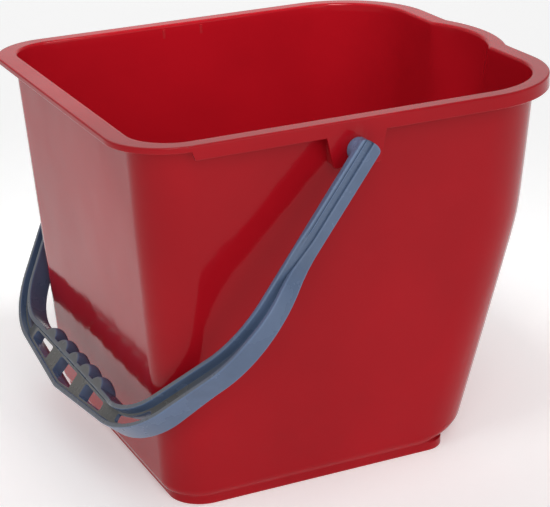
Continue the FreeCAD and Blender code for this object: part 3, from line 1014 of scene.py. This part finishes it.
def section(handle, u, v, width, squeeze):
    """Cross-section of the handle as (q, t) pairs: q from the inner edge outward, t through the
    thickness. squeeze rounds off the free end of an arm."""
    deep = handle.depth / 2.0
    grip = 1.0 - smooth(*GRIP_FADE, abs(v)) if u > GRIP_FROM else 0.0
    inner_top = deep - INNER_SINK * grip
    outer_top = OUTER_RISE * smooth(*OUTER_RISE_ALONG, u) + OUTER_CREST * smooth(*OUTER_CREST_ALONG, u)
    outer_low = -deep - OUTER_DROP * smooth(*OUTER_DROP_ALONG, u)
    inner_low = -deep
    web_top = min(WEB_HALF + WEB_RAISED * grip, outer_top)
    web_low = -WEB_HALF - WEB_LOWERED * grip
    solid = 1.0 - smooth(*SOLID_WIDTHS, width)
    hollow = 1.0 - solid
    web_low = web_low + (outer_low + 0.1 - web_low) * solid
    inner = min(handle.inner_flange, width * INNER_SHARE)
    outer = max(width - handle.outer_flange, inner + LEAST_WEB)
    middle = (inner + outer) / 2.0
    r = EDGE
    mid = EDGE_MIDDLE * r
    small = min(WEB_EDGE, (outer - inner) * EDGE_SHARE)
    small_mid = EDGE_MIDDLE * small
    lift = min(r, max((outer_top - web_top) * EDGE_SHARE, 0.02))
    flat_arm = 1.0 - smooth(*FLAT_ARM_ALONG, u)
    lip = inner + (width - inner) * ARM_LIP_SHARE * flat_arm
    bead = inner + BEAD * flat_arm
    low_small = small * hollow + 0.02
    # over the inner flange, and down its outer side past the bead
    points = [(0.0, inner_top - 2.0 * r), (0.0, inner_top - r), (mid, inner_top - mid), (r, inner_top)]
    points += [(lip - r, inner_top), (lip - mid, inner_top - mid), (lip, inner_top - r)]
    points += [(lip, inner_top - 1.8 * r), (inner, inner_top - 2.6 * r)]
    points += [(q, level) for q, level in zip((inner, bead, bead, inner), BEAD_LEVELS)]
    # across the top of the web
    points += [(inner, web_top + small), (inner + small_mid, web_top + small_mid)]
    points += [(inner + small, web_top), (middle, web_top), (outer - small, web_top)]
    # over the outer flange, and down to its underside
    points += [(outer - small_mid, web_top + EDGE_MIDDLE * lift), (outer, web_top + lift)]
    points += [(outer + 0.01, outer_top - lift), (outer + mid, outer_top - EDGE_MIDDLE * lift)]
    points += [(outer + r, outer_top), (width - r, outer_top), (width - mid, outer_top - mid)]
    points += [(width, outer_top - r), (width, outer_top - 2.0 * r)]
    points += [(width, outer_low + 2.0 * r), (width, outer_low + r), (width - mid, outer_low + mid)]
    points += [(width - r, outer_low), (outer + 0.5 * r, outer_low), (outer, outer_low + mid * hollow)]
    # back across the underside of the web
    points += [(outer, web_low - low_small * hollow), (outer - low_small, web_low)]
    points += [(middle, web_low), (inner + low_small, web_low)]
    points += [(inner, web_low - low_small * hollow), (inner, inner_low + mid * hollow)]
    # under the inner flange, and up its inner face
    points += [(inner - 0.5 * r, inner_low), (r, inner_low), (mid, inner_low + mid)]
    points += [(0.0, inner_low + r), (0.0, inner_low + 2.0 * r)]
    low, high = inner_low + 2.0 * r, inner_top - 2.0 * r
    points += [(0.0, low + (high - low) * k / INNER_FACE_STEPS) for k in range(1, INNER_FACE_STEPS)]
    shaped = []
    for q, t in points:
        t = max(min(t, deep * squeeze), -deep * squeeze if squeeze < 1.0 else t)
        if abs(v) < RIDGES_WITHIN and u > GRIP_FROM:
            q -= ridge(handle, v, t) * max(0.0, 1.0 - q / inner)
        shaped.append((q, t))
    return shaped


def handle_half(handle):
    """Rings of half the handle in flat (u, v, t) coordinates, from the arm's end to the middle."""
    outer, inner = outlines()
    arm = bent_line([CENTRE_START] + CENTRE_BENDS, CENTRE_STEP)
    stations = []
    for k in range(CAP_STEPS, 0, -1):
        part = math.sin(math.radians(CAP_TURN * k / CAP_STEPS))
        u = ARM_END - ARM_CAP * part
        squeeze = (1.0 - part ** CAP_POWER) ** (1.0 / CAP_POWER)
        stations.append((Vector((u, CENTRE_START[1] + ARM_LEAN * (u - ARM_END))), squeeze))
    stations += [(point, 1.0) for point in arm]
    rings = []
    for index, (point, squeeze) in enumerate(stations):
        before = stations[max(index - 1, 0)][0]
        after = stations[min(index + 1, len(stations) - 1)][0]
        along = (after - before).normalized()
        if index == len(stations) - 1:
            along = Vector((0.0, -1.0))
        out = Vector((-along.y, along.x))
        to_outer = crossing(outer, point, out)
        to_inner = crossing(inner, point, -out)
        edge = point - out * to_inner
        ring = []
        for q, t in section(handle, point.x, point.y, to_inner + to_outer, squeeze):
            flat = edge + out * q
            ring.append(Vector((flat.x, flat.y, t)))
        rings.append(ring)
    return rings


def window_cutters(handle):
    """Lower and upper loops of the five openings in the grip's web, three straight and one in each
    bend."""
    outer, inner = outlines()
    arm = bent_line([CENTRE_START] + CENTRE_BENDS, OUTLINE_STEP)
    half = handle.window_length / 2.0
    cutters = []
    for number in range(-OPENINGS_EACH_SIDE, OPENINGS_EACH_SIDE + 1):
        middle = abs(number) * handle.window_pitch
        low, high = middle - half, middle + half
        near, far = [], []
        for index in range(1, len(arm) - 1):
            point = arm[index]
            if point.x < OPENINGS_FROM:
                continue
            for v, mirror in ((point.y, 1.0), (-point.y, -1.0)):
                if not low <= v <= high:
                    continue
                along = (arm[index + 1] - arm[index - 1]).normalized()
                out = Vector((-along.y, along.x))
                a = point - out * (crossing(inner, point, -out) - OPENING_FROM_INNER)
                b = point + out * (crossing(outer, point, out) - OPENING_FROM_OUTER)
                end = min(v - low, high - v)
                corner = OPENING_CORNER
                inset = 0.0
                if end < corner:
                    inset = corner - math.sqrt(max(corner * corner - (corner - end) ** 2, 0.0))
                a, b = a + out * inset, b - out * inset
                near.append((v, Vector((a.x, a.y * mirror))))
                far.append((v, Vector((b.x, b.y * mirror))))
        near.sort(key=lambda item: item[0])
        far.sort(key=lambda item: item[0])
        loop = [item[1] for item in near] + [item[1] for item in reversed(far)]
        sign = -1.0 if number < 0 else 1.0
        rings = [[Vector((p.x, p.y * sign, t)) for p in loop] for t in (-CUT_REACH, CUT_REACH)]
        cutters.append(rings)
    return cutters


def lowered(handle, point):
    """From the flat handle's (u, v, t) to its place on the bucket."""
    drop = math.radians(handle.rest_drop)
    x = PIVOT.x - math.cos(drop) * point.x - math.sin(drop) * point.z
    z = PIVOT.z - math.sin(drop) * point.x + math.cos(drop) * point.z
    return Vector((x, -point.y, z))


def pivot_parts(handle, tub):
    """Hub, pin and snap head at each end of the handle."""
    parts = []
    plate_out = tub.rim_half_width
    plate_in = plate_out - EAR_THICKNESS
    hub, pin = handle.hub_radius, handle.pin_radius
    for side in (1.0, -1.0):
        centre = Vector((PIVOT.x, 0.0, PIVOT.z))
        near = plate_out + PIVOT_GAP
        profile = [(near, pin), (near, hub - 0.5), (near + 0.15, hub - 0.15), (near + 0.5, hub)]
        profile += [(near + HUB_LENGTH, hub)]
        parts.append(turning(profile, centre, (0.0, side, 0.0)))
        head = plate_in - PIVOT_GAP
        profile = [(head - 3.4, pin - 0.9), (head - 3.1, pin - 0.6), (head - 0.6, 5.5), (head - 0.2, 5.55)]
        profile += [(head, 5.3), (head, pin), (near + 0.5, pin)]
        parts.append(turning(profile, centre, (0.0, side, 0.0)))
    return parts


class WASHBUCKET_OT_handle(Operator):
    """Build the carry handle with its arms, grip, finger ridges, openings and snap pins"""

    bl_idname = "washbucket.handle"
    bl_label = "Carry handle"

    def execute(self, context):
        handle = context.scene.washbucket_handle
        half = handle_half(handle)
        other = [[Vector((p.x, -p.y, p.z)) for p in ring] for ring in reversed(half[:-1])]
        rings = [[lowered(handle, p) for p in ring] for ring in half + other]
        obj = new_object("handle_moulding", skin("handle_moulding", rings))
        cutters = []
        for pair in window_cutters(handle):
            cutters.append(skin("opening", [[lowered(handle, p) for p in ring] for ring in pair]))
        carve(obj, cutters)
        obj.data = joined("handle_moulding", [obj.data] + pivot_parts(handle, context.scene.washbucket_tub))
        even_normals(obj, 42.0)
        grip = lowered(handle, Vector((handle.grip_reach, 0.0, 0.0)))
        face = lowered(handle, Vector((0.0, 0.0, 1.0))) - lowered(handle, Vector((0.0, 0.0, 0.0)))
        paint(obj, blue_grey_plastic(context.scene.washbucket_look, grip.x * MM, face))
        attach(obj, "handle")
        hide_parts("carry_handle")
        return {"FINISHED"}


# ---------------------------------------------------------------------------
# Stage
# ---------------------------------------------------------------------------


FLOOR_REACH = 9.0
CAMERA_SENSOR = 36.0
# soft lights: name, place, target, size in metres, power in watts
SOFT_LIGHTS = (
    ("back_wash", (-0.9, 1.3, 1.5), (-0.35, 0.6, 0.0), (1.6, 1.2), 1.3),
    ("back_card", (0.75, 1.60, 0.95), (0.0, 0.0, 0.24), (1.5, 0.9), 2.0),
    ("key", (-0.55, -1.55, 1.30), (0.0, 0.0, 0.12), (1.0, 1.0), 7.5),
    ("front_card", (0.30, -1.70, 0.50), (0.0, 0.0, 0.12), (1.0, 1.0), 3.8),
)
MOUTH_FILL = ("mouth_fill", (-0.02, -0.12, 0.66), (0.02, 0.13, 0.12), (0.2, 0.2), 0.36)
MOUTH_FILL_SPREAD = 60.0


def area_light(name, place, target, size, power):
    """A rectangular lamp at place, aimed at target."""
    data = bpy.data.lights.new(name, "AREA")
    data.shape = "RECTANGLE"
    data.size, data.size_y = size
    data.energy = power
    light = bpy.data.objects.new(name, data)
    light.location = place
    light.rotation_euler = (Vector(target) - Vector(place)).to_track_quat("-Z", "Y").to_euler()
    bpy.context.scene.collection.objects.link(light)
    return light


def soft_sun(name, direction, spread, strength):
    """Even light along a direction, softened over spread degrees."""
    data = bpy.data.lights.new(name, "SUN")
    data.energy = strength
    data.angle = math.radians(spread)
    sun = bpy.data.objects.new(name, data)
    sun.rotation_euler = Vector(direction).to_track_quat("-Z", "Y").to_euler()
    bpy.context.scene.collection.objects.link(sun)


def make_camera(stage):
    """The scene's camera, from the stage settings."""
    azimuth, elevation = math.radians(stage.azimuth), math.radians(stage.elevation)
    level = math.cos(elevation)
    forward = Vector((-math.sin(azimuth) * level, math.cos(azimuth) * level, -math.sin(elevation)))
    right = forward.cross(Vector((0.0, 0.0, 1.0))).normalized()
    up = right.cross(forward)
    roll = math.radians(stage.roll)
    tilted_right = right * math.cos(roll) + up * math.sin(roll)
    tilted_up = up * math.cos(roll) - right * math.sin(roll)
    data = bpy.data.cameras.new("camera")
    data.lens = stage.lens
    data.sensor_width = CAMERA_SENSOR
    data.clip_start, data.clip_end = 0.05, 50.0
    data.dof.use_dof = False
    camera = bpy.data.objects.new("camera", data)
    turn = Matrix((tilted_right, tilted_up, -forward)).transposed().to_4x4()
    camera.matrix_world = Matrix.Translation(Vector(stage.position)) @ turn
    bpy.context.scene.collection.objects.link(camera)
    bpy.context.scene.camera = camera


class WASHBUCKET_OT_stage(Operator):
    """Set up the pale floor, the soft light and the camera"""

    bl_idname = "washbucket.stage"
    bl_label = "Stage"

    def execute(self, context):
        stage = context.scene.washbucket_stage
        make_camera(stage)
        reach = FLOOR_REACH
        mesh = bpy.data.meshes.new("floor")
        corners = [(-reach, -reach, 0.0), (reach, -reach, 0.0), (reach, reach, 0.0), (-reach, reach, 0.0)]
        mesh.from_pydata(corners, [], [(0, 1, 2, 3)])
        floor = new_object("floor", mesh)
        mesh.materials.append(floor_paper())
        world = bpy.data.worlds.new("studio")
        world.use_nodes = True
        sky = world.node_tree.nodes["Background"]
        sky.inputs["Color"].default_value = (1.0, 1.0, 1.0, 1.0)
        sky.inputs["Strength"].default_value = stage.sky
        context.scene.world = world
        context.scene.view_settings.view_transform = "Standard"
        for lamp in SOFT_LIGHTS:
            area_light(*lamp)
        fill = area_light(*MOUTH_FILL)
        fill.data.spread = math.radians(MOUTH_FILL_SPREAD)
        soft_sun("overhead", (0.25, -0.35, -1.0), 80.0, 0.35)
        return {"FINISHED"}


# ---------------------------------------------------------------------------
# Sidebar and registration
# ---------------------------------------------------------------------------


class WASHBUCKET_PT_panel(Panel):
    """Build the bucket piece by piece from the sidebar"""

    bl_label = "Wash Bucket"
    bl_idname = "WASHBUCKET_PT_panel"
    bl_space_type = "VIEW_3D"
    bl_region_type = "UI"
    bl_category = "Wash Bucket"

    def draw(self, context):
        layout = self.layout
        for operator in BUILDERS:
            layout.operator(operator.bl_idname)
        for name in SETTINGS:
            group = getattr(context.scene, name)
            box = layout.box()
            for key in group.bl_rna.properties.keys():
                if key not in {"rna_type", "name"}:
                    box.prop(group, key)


SETTINGS = {
    "washbucket_tub": TubSettings,
    "washbucket_handle": HandleSettings,
    "washbucket_look": LookSettings,
    "washbucket_stage": StageSettings,
}
BUILDERS = (WASHBUCKET_OT_stage, WASHBUCKET_OT_tub, WASHBUCKET_OT_handle)
CLASSES = tuple(SETTINGS.values()) + BUILDERS + (WASHBUCKET_PT_panel,)


def register():
    for cls in CLASSES:
        bpy.utils.register_class(cls)
    for name, group in SETTINGS.items():
        setattr(bpy.types.Scene, name, PointerProperty(type=group))


def unregister():
    for name in SETTINGS:
        delattr(bpy.types.Scene, name)
    for cls in reversed(CLASSES):
        bpy.utils.unregister_class(cls)


def main():
    """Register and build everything."""
    register()
    bpy.ops.washbucket.stage()
    bpy.ops.washbucket.tub()
    bpy.ops.washbucket.handle()


if __name__ == "__main__":
    main()
